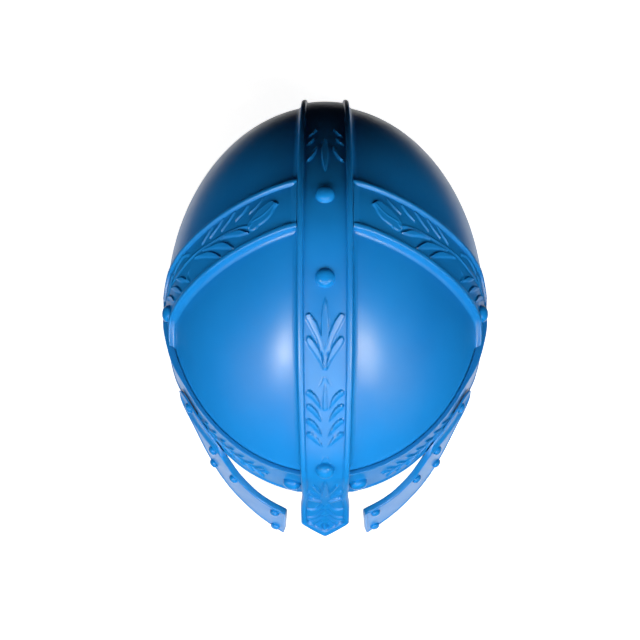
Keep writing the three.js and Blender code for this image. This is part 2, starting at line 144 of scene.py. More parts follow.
def slab(name, outer, inner, sharp=34.0):
    """A closed slab between two matching grids of points, in quads."""
    rows, cols = outer.shape[:2]
    n = rows * cols
    points = np.concatenate([outer.reshape(-1, 3), inner.reshape(-1, 3)])
    idx = np.arange(n).reshape(rows, cols)
    a, b, c, d = idx[:-1, :-1], idx[1:, :-1], idx[1:, 1:], idx[:-1, 1:]
    faces = [np.stack([a, b, c, d], -1).reshape(-1, 4), np.stack([d, c, b, a], -1).reshape(-1, 4) + n]
    for edge, flip in ((idx[:, 0], 0), (idx[:, -1], 1), (idx[0], 1), (idx[-1], 0)):
        q = np.stack([edge[1:], edge[:-1], edge[:-1] + n, edge[1:] + n], -1)
        faces.append(q[:, ::-1] if flip else q)
    return make_object(name, points, [f for f in faces], sharp)


def catmull(points, n=20):
    """A smooth line through the points."""
    p = np.asarray(points, float)
    if len(p) == 2:
        k = np.linspace(0, 1, n)[:, None]
        return p[0] * (1 - k) + p[1] * k
    q = np.concatenate([[2 * p[0] - p[1]], p, [2 * p[-1] - p[-2]]])
    length = np.concatenate([[0], np.cumsum(np.linalg.norm(np.diff(p, axis=0), axis=1))])
    length /= length[-1]
    out = []
    for k in np.linspace(0, 1, n):
        i = min(max(np.searchsorted(length, k, side="right") - 1, 0), len(p) - 2)
        t = (k - length[i]) / (length[i + 1] - length[i])
        a, b, c, d = q[i:i + 4]
        out.append(0.5 * ((2 * b) + (c - a) * t + (2 * a - 5 * b + 4 * c - d) * t * t + (3 * b - a - 3 * c + d) * t ** 3))
    return np.array(out)


def leaf(T, S, upper, lower, height, steep=0.45, soft=0.9, fade=0.0):
    """Height of one raised leaf between an upper and a lower edge line, charted in mm
    across and along its band. The upper edge is the steep one."""
    A, B = catmull(upper, 22), catmull(lower, 22)
    M = (A + B) / 2
    tangent = np.gradient(M, axis=0)
    tangent /= np.maximum(np.linalg.norm(tangent, axis=1, keepdims=True), 1e-9)
    half = (A - B) / 2
    W = np.maximum(np.abs(tangent[:, 0] * half[:, 1] - tangent[:, 1] * half[:, 0]), 0.3)   # square to the middle line
    lo, hi = np.minimum(A, B).min(0) - 2.5, np.maximum(A, B).max(0) + 2.5
    out = np.zeros(T.shape)
    near = (T > lo[0]) & (T < hi[0]) & (S > lo[1]) & (S < hi[1])
    if not near.any():
        return out
    P = np.stack([T[near], S[near]], -1)
    best = np.full(len(P), 1e9)
    x = np.zeros(len(P))
    along = np.zeros(len(P))
    run, lean_ = M[-1] - M[0], (A - M).mean(0)
    side_ref = 1.0 if run[0] * lean_[1] - run[1] * lean_[0] >= 0 else -1.0
    for i in range(len(M) - 1):
        a, d = M[i], M[i + 1] - M[i]
        L = max(d @ d, 1e-9)
        k = np.clip(((P - a) @ d) / L, 0, 1)
        r = P - a - k[:, None] * d
        dist = np.hypot(r[:, 0], r[:, 1])
        sign = np.sign(d[0] * r[:, 1] - d[1] * r[:, 0]) * side_ref
        w = W[i] + (W[i + 1] - W[i]) * k
        better = dist < best
        best = np.where(better, dist, best)
        x = np.where(better, sign * dist / w, x)
        along = np.where(better, (i + k) / (len(M) - 1), along)
    w = np.interp(along, np.linspace(0, 1, len(W)), W)
    up = smooth((1 - x) * w / steep)
    down = smooth((1 + x) * w / soft)
    ends = smooth(along / 0.05 + 0.35) * (1 - fade * smooth((along - 0.45) / 0.55))
    body = 0.5 + 0.5 * np.clip((x + 1) / 2, 0, 1)
    out[near] = 1.25 * height * up * down * ends * body
    return out


def ridge(T, S, line, width, height, taper=1.0):
    """A thin raised vein along a line."""
    M = catmull(line, 18)
    lo, hi = M.min(0) - 3, M.max(0) + 3
    out = np.zeros(T.shape)
    near = (T > lo[0]) & (T < hi[0]) & (S > lo[1]) & (S < hi[1])
    if not near.any():
        return out
    P = np.stack([T[near], S[near]], -1)
    best = np.full(len(P), 1e9)
    along = np.zeros(len(P))
    for i in range(len(M) - 1):
        a, d = M[i], M[i + 1] - M[i]
        k = np.clip(((P - a) @ d) / max(d @ d, 1e-9), 0, 1)
        r = P - a - k[:, None] * d
        dist = np.hypot(r[:, 0], r[:, 1])
        better = dist < best
        best = np.where(better, dist, best)
        along = np.where(better, (i + k) / (len(M) - 1), along)
    w = width * (1 - 0.6 * taper * along)
    out[near] = height * smooth(1 - best / w) * (1 - 0.5 * taper * along)
    return out


# ---- skull -----------------------------------------------------------------
def skull():
    slices = 288
    f = np.linspace(0, 2 * np.pi, slices, endpoint=False)
    c, s = np.cos(f), np.sin(f)
    length_y = np.where(s < 0, FRONT, BACK)
    rings_out, rings_in = [], []
    arcs = np.radians(np.concatenate([np.linspace(1.6, 80, 74), [81.2, 82.4]]))
    for a in arcs:
        d = unit(np.stack([np.sin(a) * c * HALF_WIDTH, np.sin(a) * s * length_y, np.full(slices, np.cos(a) * RISE)], -1))
        p = on_dome(np.array([0, 0, BASE_Z]) + 0 * d, d, 20, 200)
        rings_out.append(p)
        rings_in.append(p - SHELL_WALL * dome_normal(p))
    flat = unit(np.stack([c * HALF_WIDTH, s * length_y, 0 * c], -1))
    for z in (33, 28.5, 24, 18, 12, 6, 2.2, 1.2, 0.55, 0.15):
        base = np.zeros((slices, 3))
        base[:, 2] = z
        p = on_dome(base, flat, 20, 200)
        n = dome_normal(p)
        n[:, 2] = 0
        n = unit(n)
        # rounded lower rim
        r = 1.2
        back = r - math.sqrt(max(r * r - max(r - z, 0) ** 2, 0)) if z < r else 0.0
        rings_out.append(p - n * back)
        rings_in.append(p - n * (SHELL_WALL - back))
    z = 0.0
    base = np.zeros((slices, 3))
    p = on_dome(base, flat, 20, 200)
    n = dome_normal(p)
    n[:, 2] = 0
    n = unit(n)
    rings_out.append(p - n * 1.2)
    rings_in.append(p - n * (SHELL_WALL - 1.2))
    rows = len(rings_out)
    points = np.concatenate([np.array(rings_out).reshape(-1, 3), np.array(rings_in).reshape(-1, 3),
                             [[0, 0, BASE_Z + RISE], [0, 0, BASE_Z + RISE - SHELL_WALL]]])
    n_out = rows * slices
    idx = np.arange(n_out).reshape(rows, slices)
    nxt = np.roll(idx, -1, axis=1)
    quads = np.stack([idx[:-1], idx[1:], nxt[1:], nxt[:-1]], -1).reshape(-1, 4)
    inner = quads[:, ::-1] + n_out
    rim = np.stack([idx[-1], idx[-1] + n_out, nxt[-1] + n_out, nxt[-1]], -1)
    top = 2 * n_out
    cap_o = np.stack([idx[0], nxt[0], np.full(slices, top)], -1)
    cap_i = np.stack([nxt[0] + n_out, idx[0] + n_out, np.full(slices, top + 1)], -1)
    return make_object("shell", points, [quads, inner, rim, cap_o, cap_i], 50)


# ---- crest band ------------------------------------------------------------
CREST_RIM, CREST_PANEL = 5.0, 2.9
HALF_CROWN, HALF_BROW, HALF_WAIST, HALF_TIP, HALF_REAR = 16.6, 15.0, 14.6, 15.8, 15.6
RIM_WIDTH = 3.3
NOSE_DROP, NOSE_POINT, NOSE_FLARE, NOSE_THICK = 50.8, 13.2, 9.5, 4.4

# leaf work of the crest band: [across, along], one side, mirrored on the other
CREST_LEAVES = [
    # upper edge, lower edge, height
    ([[-11.2, 143.2], [-9.4, 144.9], [-6.2, 141.2], [-3.6, 135.4], [-1.4, 129.0]],
     [[-11.3, 142.0], [-7.4, 133.2], [-4.2, 125.6], [-1.2, 115.5]], 1.05),
    ([[-11.2, 129.0], [-9.2, 131.0], [-5.6, 127.2], [-3.2, 121.6], [-1.6, 115.8]],
     [[-11.3, 128.0], [-6.8, 119.8], [-3.2, 113.6], [-0.6, 107.5]], 1.15),
    ([[-0.8, 107.6], [-1.8, 105.0], [-3.9, 100.6]], [[-0.4, 104.6], [-1.2, 103.2], [-3.2, 100.0]], 0.7),
    ([[-11.2, 96.4], [-9.6, 98.4], [-6.6, 96.2], [-4.0, 92.2], [-2.3, 86.6]],
     [[-11.3, 95.2], [-8.0, 92.4], [-5.2, 89.0], [-2.2, 85.0]], 1.1),
    ([[-11.2, 87.6], [-9.6, 89.4], [-6.6, 87.3], [-4.0, 83.6], [-2.3, 78.4]],
     [[-11.3, 86.4], [-8.0, 83.6], [-5.2, 80.4], [-2.2, 77.0]], 1.05),
    ([[-11.2, 78.2], [-9.6, 79.9], [-6.6, 77.8], [-4.2, 74.2], [-1.9, 68.6]],
     [[-11.3, 77.0], [-8.0, 74.2], [-5.2, 71.0], [-1.8, 67.2]], 1.05),
    ([[-11.2, 69.2], [-9.6, 70.9], [-6.6, 69.2], [-4.2, 66.0], [-1.8, 61.6]],
     [[-11.3, 68.2], [-8.0, 65.4], [-5.2, 62.8], [-1.8, 60.4]], 0.95),
    # below the brow rivet and on the nose guard
    ([[-7.0, 27.0], [-5.6, 22.0], [-3.0, 14.0]], [[-8.2, 23.0], [-6.6, 17.0], [-4.2, 11.0]], 0.8),
    ([[-10.6, 15.0], [-8.0, 11.0], [-4.0, 4.4]], [[-11.0, 11.0], [-8.0, 6.4], [-4.2, 1.0]], 1.0),
    ([[-11.2, 1.6], [-8.0, 0.4], [-4.0, -2.4]], [[-11.4, -3.4], [-8.0, -5.4], [-4.0, -6.6]], 1.0),
    # behind the crown, pointing back to front
    ([[-4.0, 261.0], [-5.4, 254.0], [-8.4, 247.4], [-11.2, 245.0]],
     [[-6.2, 259.6], [-8.4, 253.6], [-10.2, 249.6], [-11.4, 246.2]], 0.9),
    ([[-6.0, 270.4], [-8.0, 265.4], [-11.2, 263.0]], [[-8.4, 270.0], [-10.0, 267.0], [-11.4, 264.2]], 0.9),
    ([[-4.4, 282.4], [-7.2, 275.4], [-11.0, 272.0]], [[-7.0, 281.0], [-9.4, 276.4], [-11.2, 273.4]], 0.9),
]
CREST_CENTRE = [
    # centre leaves: half outline from tip to foot, height
    ([[0.0, 154.0], [-1.5, 149.0], [-2.5, 141.0], [-2.6, 133.0], [-1.9, 123.0], [-1.0, 112.0]], 0.95),
    ([[0.0, 105.8], [-0.6, 101.5], [-1.4, 94.0], [-1.7, 87.0]], 0.8),
    ([[0.0, 35.4], [-1.1, 27.0], [-2.0, 17.5], [-2.2, 8.0]], 0.9),
    ([[0.0, 232.6], [-1.3, 240.0], [-2.2, 248.0], [-2.3, 257.0], [-1.4, 268.0]], 0.9),
]


def crest_centre_line():
    ang = np.linspace(math.radians(6.5), math.radians(179.95), 2600)
    base = np.zeros((len(ang), 3))
    base[:, 2] = BASE_Z
    d = np.stack([0 * ang, -np.cos(ang), np.sin(ang)], -1)
    p = on_dome(base, d, 20, 200)
    p = p[(p[:, 2] > BROW_TOP) | (p[:, 1] > 0)]
    first = np.array([[0, -WALL_F, BROW_TOP]])
    p = np.concatenate([first, p])
    s = BROW_TOP + np.concatenate([[0], np.cumsum(np.linalg.norm(np.diff(p, axis=0), axis=1))])
    # the rear drops straight to z = 0
    z = np.arange(p[-1, 2] - 0.3, -0.001, -0.3)
    z = np.append(z, 0.0)
    extra = np.stack([0 * z, 0 * z + p[-1, 1], z], -1)
    s = np.concatenate([s, s[-1] + (p[-1, 2] - z)])
    p = np.concatenate([p, extra])
    return p, s


def band_columns(half, step=0.5):
    """Across a band, as a share of its half width: fine over its top, finer at the edges."""
    edge = np.array([1.0, 0.9985, 0.993, 0.984, 0.972, 0.958])
    inner = np.linspace(-0.94, 0.94, int(round(2 * half / step)) + 1)
    return np.concatenate([-edge, inner, edge[::-1]])


def edge_round(dist, r=0.9):
    """How far a rounded edge has dropped at a distance from the edge."""
    x = np.clip(r - dist, 0, r)
    return r - np.sqrt(np.maximum(r * r - x * x, 0))


def crest():
    cp, cs = crest_centre_line()
    end = cs[-1]
    # rows: nose guard, then up over the dome to the rear
    s_rows = np.concatenate([np.linspace(0.5, 280, 560), np.linspace(280.8, end - 1.2, 150), [end - 0.6, end - 0.2, end]])
    share = band_columns(16.6, 0.56)
    cols = len(share)
    # over the dome and the brow band
    c = np.stack([np.interp(s_rows, cs, cp[:, k]) for k in range(3)], -1)
    c[s_rows < BROW_TOP] = [0, -WALL_F, 0]
    c[s_rows < BROW_TOP, 2] = s_rows[s_rows < BROW_TOP]
    level = c[:, 2]
    rear = c[:, 1] > 0
    k = smooth(np.clip((120 - level) / 90, 0, 1))
    half = lerp(HALF_CROWN, np.where(rear, HALF_REAR, HALF_BROW), k)
    half = np.where(s_rows < 41, lerp(HALF_WAIST, HALF_BROW, smooth((s_rows - 3) / 38)), half)
    low = np.where(rear, 0.0, smooth((70 - level) / 30))
    rim = np.where(s_rows < BROW_TOP, lerp(6.8, 6.1, smooth(s_rows / BROW_TOP)), lerp(CREST_RIM, 6.1, low))
    panel = np.where(s_rows < BROW_TOP, rim - 1.5, lerp(CREST_PANEL, 4.6, low))
    T = half[:, None] * share[None, :]
    S = s_rows[:, None] + 0 * T
    n = dome_normal(c)
    n[:, 0] = 0
    n = unit(n)
    n[s_rows < BROW_TOP] = [0, -1, 0]
    # turn gently where the wall meets the dome
    w = np.exp(-0.5 * (np.arange(-24, 25) / 9.0) ** 2)
    w /= w.sum()
    zone = np.exp(-(((s_rows - 38) / 16.0) ** 4))[:, None]
    ns = np.stack([np.convolve(np.pad(n[:, i], 24, mode="edge"), w, mode="valid") for i in range(3)], -1)
    n = unit(lerp(n, ns, zone))
    start = np.stack([T, c[:, None, 1] + 0 * T, c[:, None, 2] + 0 * T], -1)
    direction = n[:, None, :] + 0 * start
    foot = on_dome(start, direction, -14, 8)
    flat_y = -WALL_F * np.sqrt(1 - (T / WALL_A) ** 2)
    lowrow = s_rows < BROW_TOP
    foot[lowrow] = np.stack([T, flat_y, S], -1)[lowrow]
    # height of the band's outside over the dome
    edge = half[:, None] - np.abs(T)
    step = smooth((edge - (RIM_WIDTH - 0.2)) / 0.9)
    H = rim[:, None] - (rim - panel)[:, None] * step
    H += 0.28 * np.sin(np.pi * np.clip(edge / RIM_WIDTH, 0, 1)) * (edge < RIM_WIDTH)   # rims are a little round
    H -= edge_round(edge)
    H -= 1.0 * np.exp(-(((end - S) / 0.8) ** 2)) * 0.9
    relief = crest_relief(T, S) * step * (1 + 0.55 * smooth((34 - S) / 10) + 0.7 * smooth((S - 225) / 8))
    base = foot + H[..., None] * direction
    # the bend from the wall to the dome is a soft one
    w2 = np.exp(-0.5 * (np.arange(-30, 31) / 11.0) ** 2)
    w2 /= w2.sum()
    head = s_rows < 279
    nh = int(head.sum())
    padded = np.concatenate([base[:1] + (np.arange(-30, 0) * 0.5)[:, None, None] * np.array([0.0, 0.0, 1.0]), base[:nh + 30]])
    soft_base = sum(w2[i] * padded[i:i + nh] for i in range(61))
    bend = np.exp(-(((s_rows[:nh] - 38) / 15.0) ** 4))[:, None, None] * smooth(s_rows[:nh] / 8.0)[:, None, None]
    base[:nh] = lerp(base[:nh], soft_base, bend)
    outer = base + relief[..., None] * direction
    base_h = np.where(lowrow, 2.95, 0.3)
    base_h = np.where((s_rows >= BROW_TOP) & (s_rows < 60), lerp(2.95, 0.3, smooth((s_rows - 36.5) / 3.0)), base_h)
    # the dome's surface starts over the brow band's ledge
    inner = foot + base_h[:, None, None] * direction

    # nose guard: rows from the tip up, the lower edge is a shallow point
    kk = np.concatenate([[0, 0.0012, 0.006, 0.014, 0.026], np.linspace(0.04, 1, 100)])[::-1]   # 1 at the brow, 0 at the tip
    zmid = -0.5 + (1 - kk) * (-NOSE_DROP + 0.5)
    nhalf = np.where(zmid < 3, lerp(HALF_WAIST, HALF_TIP, smooth((3 - zmid) / 30)), HALF_WAIST)
    NT = nhalf[:, None] * share[None, :]
    # rounded corners where the sides meet the point
    tip = -NOSE_DROP + NOSE_POINT * np.abs(share)[None, :] + 0 * NT
    corner = np.clip((np.abs(share) - 0.86) / 0.14, 0, 1)[None, :]
    tip += 1.0 * corner ** 2.2
    apex = np.clip(1 - np.abs(share) / 0.10, 0, 1)[None, :]
    tip += 0.6 * apex ** 2
    NZ = -0.5 + (1 - kk)[:, None] * (tip + 0.5)
    rim_n = 6.8 + NOSE_FLARE * np.maximum(-NZ / NOSE_DROP, 0) ** 1.6
    nflat = -WALL_F * np.sqrt(1 - (NT / WALL_A) ** 2)
    to_tip = (NZ - tip) * 0.68                      # distance to the slanting lower edge
    nedge = np.minimum(nhalf[:, None] - np.abs(NT), to_tip + 0.0)
    nstep = smooth((nedge - (RIM_WIDTH - 0.2)) / 0.9)
    NH = rim_n - 1.5 * nstep + 0.28 * np.sin(np.pi * np.clip(nedge / RIM_WIDTH, 0, 1)) * (nedge < RIM_WIDTH)
    NH -= edge_round(np.clip(nedge, 0, None))
    NH += np.maximum(1.5 * crest_relief(NT, NZ), -1.6) * nstep
    nouter = np.stack([NT, nflat - NH, NZ], -1)
    ninner = np.stack([NT, nflat - rim_n + NOSE_THICK, NZ], -1)
    ninner[..., 1] -= edge_round(np.clip(nedge, 0, None), 0.7)
    # the guard's root meets the band's inside over the brow
    root = smooth((NZ + 7) / 6.5)[..., None]
    target = ninner.copy()
    target[..., 1] = nflat - 2.95
    ninner = lerp(ninner, target, root)
    outer = np.concatenate([nouter[::-1], outer])
    inner = np.concatenate([ninner[::-1], inner])
    # fillet foot over the dome, on both long edges, away from the ear bands
    nose = len(nouter)
    s_all = np.concatenate([NZ[::-1, 0], s_rows])
    y_all = np.concatenate([np.full(nose, -200.0), c[:, 1]])
    mid_y = side_centre_y(np.array(129.0))
    clear = smooth((np.abs(y_all - mid_y) - SIDE_HALF - 0.2) / 0.5)
    clear = np.where((s_all > 120) & (s_all < 260), clear, 1.0)
    grow = smooth((s_all - 39.5) / 5.0) * smooth((end + 3 - s_all) / 6.0) * clear
    H_all = np.concatenate([0 * NH[::-1], H])
    out_cols, in_cols = [], []
    reaches = (3.4, 2.6, 1.9, 1.25, 0.7, 0.3, 0.08)
    lifts = (-0.12, 0.05, 0.2, 0.48, 0.95, 1.55, 2.1)
    for sgn, col in ((-1, 0), (1, cols - 1)):
        strip_o, strip_i = [], []
        wall_top, wall_foot = outer[:, col], inner[:, col]
        for j, (reach, lift) in enumerate(zip(reaches, lifts)):
            share_down = (len(reaches) - j) / (len(reaches) + 1)
            down = lerp(wall_top, wall_foot, share_down)          # no fillet: the plain side wall
            x = outer[nose:, col, 0] + sgn * reach
            p0 = np.stack([x, c[:, 1], c[:, 2]], -1)
            qd = on_dome(p0, n, -14, 8)
            q = down.copy()
            q[nose:] = lerp(down[nose:], qd + np.minimum(lift, H[:, col])[:, None] * n, grow[nose:, None])
            strip_o.append(q)
            under = wall_foot.copy()
            under[:, 0] -= sgn * 0.02 * (len(reaches) - j)
            under[nose:] = lerp(under[nose:], qd - 0.16 * n, grow[nose:, None])
            strip_i.append(under)
        if sgn < 0:
            out_cols = [np.stack(strip_o, 1)]
            in_cols = [np.stack(strip_i, 1)]
        else:
            out_cols.append(np.stack(strip_o[::-1], 1))
            in_cols.append(np.stack(strip_i[::-1], 1))
    outer = np.concatenate([out_cols[0], outer, out_cols[1]], 1)
    inner = np.concatenate([in_cols[0], inner, in_cols[1]], 1)
    lift_to_floor(outer)
    lift_to_floor(inner)
    # fewer rows up the dome, fewer still towards the plain rear
    k = np.arange(len(outer)) - nose
    keep = (k < 0) | ((k < 560) & (k % 3 != 2)) | ((k >= 560) & (k % 2 == 0)) | (k >= k[-1] - 3)
    return slab("crest", outer[keep], inner[keep], 42)


REAR_END = 149.47


def lift_to_floor(p):
    """Keeps the piece on or over the surface that it rests on, where CAD cuts a flat,
    and in front of its rearmost plane."""
    zw = -p[..., 1] * SIN + p[..., 2] * COS + OFFSET[2]
    low = np.minimum(zw - 0.02, 0)
    p[..., 1] += low * SIN
    p[..., 2] -= low * COS
    far = np.maximum(p[..., 1] * COS + p[..., 2] * SIN + OFFSET[1] - REAR_END, 0)
    p[..., 1] -= far * COS
    p[..., 2] -= far * SIN


def crest_relief(T, S):
    out = np.zeros(T.shape)
    for upper, lower, h in CREST_LEAVES:
        for m in (1, -1):
            u = [[m * a, b] for a, b in upper]
            v = [[m * a, b] for a, b in lower]
            out = np.maximum(out, leaf(T, S, u, v, h))
    for outline, h in CREST_CENTRE:
        o = [[-a, b] for a, b in outline]
        out = np.maximum(out, leaf(T, S, outline, o, h, 0.7, 0.7))
    for line in ([[-1.2, 52.6], [-2.4, 50.0], [-3.7, 47.0]],):
        for m in (1, -1):
            out = np.maximum(out, ridge(T, S, [[m * a, b] for a, b in line], 0.8, 0.55, 0.0))
    # the lower leaves of the nose guard's palmette droop, parted by grooves
    for line, width, depth in (([[-2.4, -12.0], [-5.4, -17.6], [-8.4, -19.4], [-11.6, -18.6]], 2.1, 1.25),
                               ([[-1.4, -19.0], [-5.2, -26.4], [-8.6, -29.8], [-12.4, -30.4]], 1.9, 1.25),
                               ([[-1.9, -27.4], [-5.4, -32.4], [-8.4, -35.2], [-11.4, -36.6]], 1.9, 1.15),
                               ([[-2.9, -34.4], [-5.2, -38.2], [-6.6, -39.8]], 1.5, 1.0),
                               ([[-1.4, -38.0], [-1.9, -43.4]], 1.2, 0.9)):
        for m in (1, -1):
            out = out - ridge(T, S, [[m * a, b] for a, b in line], width, depth, 0.35)
    return out


# ---- ear bands -------------------------------------------------------------
SIDE_HALF = 17.3
SIDE_RIM_TOP, SIDE_RIM_FOOT, SIDE_PANEL_TOP, SIDE_PANEL_FOOT = 4.8, 3.3, 2.8, 2.0

# leaf work of an ear band: [across, rear side positive; along, up from the foot]
SIDE_LEAVES = [
    ([[3.2, 126.4], [6.6, 121.2], [5.2, 115.4], [2.4, 110.6], [-0.4, 106.6]],
     [[2.2, 126.4], [-1.8, 122.9], [-5.2, 119.6], [-7.4, 112.0]], 1.15),
    ([[-8.0, 106.2], [-6.2, 103.8], [-2.9, 99.2], [-1.2, 91.9], [-0.8, 84.9]],
     [[-8.8, 105.6], [-6.6, 97.2], [-4.0, 90.5], [-0.6, 79.0]], 1.1),
    ([[-12.2, 94.4], [-8.6, 91.0], [-4.4, 85.8], [-1.7, 77.8], [0.6, 67.6]],
     [[-12.8, 92.8], [-9.4, 86.2], [-5.8, 79.0], [0.4, 64.0]], 1.15),
    ([[-12.6, 83.4], [-8.4, 79.2], [-3.8, 73.2], [-0.7, 64.9], [1.2, 57.2]],
     [[-12.8, 81.4], [-8.8, 74.2], [-4.8, 66.6], [1.4, 54.6]], 1.1),
    ([[12.9, 115.6], [11.0, 114.2], [8.6, 111.4], [5.4, 106.0]], [[12.2, 116.2], [8.6, 114.0], [6.0, 110.6], [3.8, 105.4]], 0.9),
    ([[12.4, 104.6], [10.0, 101.0], [5.8, 95.2]], [[10.8, 105.0], [7.0, 101.0], [4.4, 95.2]], 0.9),
    ([[13.2, 94.0], [10.0, 90.0], [5.4, 83.4]], [[11.6, 94.4], [7.2, 89.4], [3.6, 83.6]], 0.9),
    ([[13.6, 83.8], [10.4, 79.6], [6.4, 72.4]], [[12.0, 84.2], [7.8, 79.0], [4.8, 72.8]], 0.9),
    ([[14.0, 74.2], [11.0, 70.8], [7.0, 64.4]], [[12.8, 74.6], [8.6, 70.4], [5.2, 64.8]], 0.9),
    ([[-2.0, 50.6], [-6.8, 46.6], [-10.8, 49.6]], [[-0.6, 52.4], [-5.6, 49.2], [-10.0, 51.0]], 0.9),
    ([[9.2, 49.6], [12.4, 42.2], [11.8, 36.4]], [[7.2, 48.4], [10.0, 42.0], [10.0, 36.6]], 0.8),
    ([[12.2, 37.6], [11.0, 33.0], [8.6, 28.0]], [[10.4, 38.0], [9.0, 33.2], [7.4, 28.6]], 0.8),
    ([[-9.4, 49.0], [-5.6, 45.4], [-2.4, 41.8], [1.6, 33.6]], [[-9.8, 47.4], [-6.8, 43.0], [-4.0, 38.0], [1.2, 32.0]], 1.05),
    ([[-11.4, 40.2], [-7.4, 37.2], [-3.2, 32.8], [1.6, 24.0]], [[-11.8, 38.4], [-8.4, 34.0], [-4.6, 28.8], [1.2, 22.4]], 1.05),
    ([[-10.6, 28.8], [-7.0, 26.4], [-3.0, 22.6], [3.0, 13.4]], [[-11.0, 27.0], [-8.0, 23.4], [-4.2, 18.8], [2.4, 12.0]], 1.05),
    ([[9.6, 25.6], [8.0, 22.0], [5.0, 17.6]], [[8.2, 26.4], [6.2, 22.6], [3.8, 18.6]], 0.8),
]
SIDE_STEM = [[-7.0, 112.1], [-3.0, 104.5], [-0.6, 96.0], [0.6, 86.0], [1.8, 74.0], [3.6, 61.0], [4.2, 49.6], [3.6, 38.0], [4.0, 26.0], [3.4, 14.0]]


def side_centre_y(z):
    return -18.3 + 0.264 * (z - 23) - np.where(z < 49, 10.5 * (np.maximum(49 - z, 0) / 13) ** 1.6, 0)


def side_point(arc, t):
    lo = np.full(arc.shape, 20.0)
    hi = np.full(arc.shape, 160.0)

    def at(r):
        z = BASE_Z + r * np.sin(arc)
        return np.stack([r * np.cos(arc), side_centre_y(z) + t, z], -1)
    for _ in range(44):
        m = (lo + hi) / 2
        inside = dome_field(at(m)) < 0
        lo = np.where(inside, m, lo)
        hi = np.where(inside, hi, m)
    return at((lo + hi) / 2)


def arc_where(t, test):
    lo = np.zeros(t.shape)
    hi = np.full(t.shape, math.pi / 2 - 0.01)
    for _ in range(44):
        m = (lo + hi) / 2
        ok = test(side_point(m, t))
        lo = np.where(ok, m, lo)
        hi = np.where(ok, hi, m)
    return (lo + hi) / 2


def side_band(side, name):
    share = band_columns(SIDE_HALF)
    # fillet strips outside the two long edges
    outside = np.array([2.7, 2.0, 1.4, 0.9, 0.5, 0.2])
    t = SIDE_HALF * share
    t_all = np.concatenate([-(SIDE_HALF + outside), t, (SIDE_HALF + outside)[::-1]])
    a0 = arc_where(t_all, lambda p: p[..., 2] < BROW_TOP + 0.35)
    a1 = arc_where(t_all, lambda p: p[..., 0] > HALF_CROWN + 0.3)
    k = np.concatenate([[0, 0.0012, 0.003, 0.006], np.linspace(0.01, 1, 300)])
    arc = a0[None, :] + (a1 - a0)[None, :] * k[:, None]
    T = t_all[None, :] + 0 * arc
    P = side_point(arc, T)
    N = dome_normal(P)
    # the coordinate along the band
    fine = np.linspace(math.radians(2), math.radians(86), 1500)
    line = side_point(fine, 0 * fine)
    u = np.concatenate([[0], np.cumsum(np.linalg.norm(np.diff(line, axis=0), axis=1))])
    u -= np.interp(BROW_TOP, line[:, 2], u)
    U = np.interp(arc, fine, u)
    footness = smooth(1 - k / 0.25)[:, None]
    rim = lerp(SIDE_RIM_TOP, SIDE_RIM_FOOT, footness)
    panel = lerp(SIDE_PANEL_TOP, SIDE_PANEL_FOOT, footness)
    edge = SIDE_HALF - np.abs(T)
    step = smooth((edge - (RIM_WIDTH - 0.2)) / 0.9)
    H = rim - (rim - panel) * step
    H = H + 0.28 * np.sin(np.pi * np.clip(edge / RIM_WIDTH, 0, 1)) * ((edge < RIM_WIDTH) & (edge > 0))
    H -= edge_round(np.clip(edge, 0, None))
    relief = np.zeros(T.shape)
    for upper, lower, h in SIDE_LEAVES:
        relief = np.maximum(relief, leaf(T, U, upper, lower, h))
    relief = np.maximum(relief, ridge(T, U, SIDE_STEM, 1.5, 0.75, 0.3))
    relief = relief * (edge > RIM_WIDTH - 0.5)
    relief += ridge(T, U, [[3.4, 124.0], [1.2, 121.2], [-1.2, 116.4], [-2.4, 109.0]], 0.9, 0.35, 0.2) * (relief > 0.3)
    H = H + relief
    # fillet against the crest band, over the panel and the rims
    gap = np.clip(P[..., 0] - (HALF_CROWN + 0.3), 0, None)
    H = np.maximum(H, np.where(edge > 0, panel + 1.7 * (1 - smooth(gap / 3.6)), H))
    strip = edge < 0
    out = -edge
    fil = np.interp(out, [0, 0.2, 0.5, 0.9, 1.4, 2.0, 2.7], [2.2, 1.7, 1.15, 0.7, 0.36, 0.1, -0.14])
    fil *= lerp(1.0, 0.8, footness)
    H = np.where(strip, fil, H)
    H = H - np.where(strip, 0, edge_round(np.clip((U - U[:1]), 0, None), 0.8) * 0.9)
    # upright beside the crest band, so the end closes against it
    N2 = N.copy()
    N2[..., 0] *= smooth(gap / 7.0)
    N2 = unit(N2)
    outer = P + H[..., None] * N2
    low = np.where(strip, -0.16, 0.3)
    inner = P + low[..., None] * N2
    for grid in (outer, inner):
        grid[..., 2] = np.maximum(grid[..., 2], BROW_TOP + 0.1)
        grid[..., 0] = np.maximum(grid[..., 0], HALF_CROWN - 0.4)
        if side < 0:
            grid[..., 0] *= -1
    return slab(name, outer, inner, 42)


# ---- brow band -------------------------------------------------------------
def brow_proud(f):
    deg = np.degrees(np.abs(f))
    return lerp(2.6, 4.8, smooth((deg - 55) / 13)) - 1.6 * smooth((deg - 76) / 9)


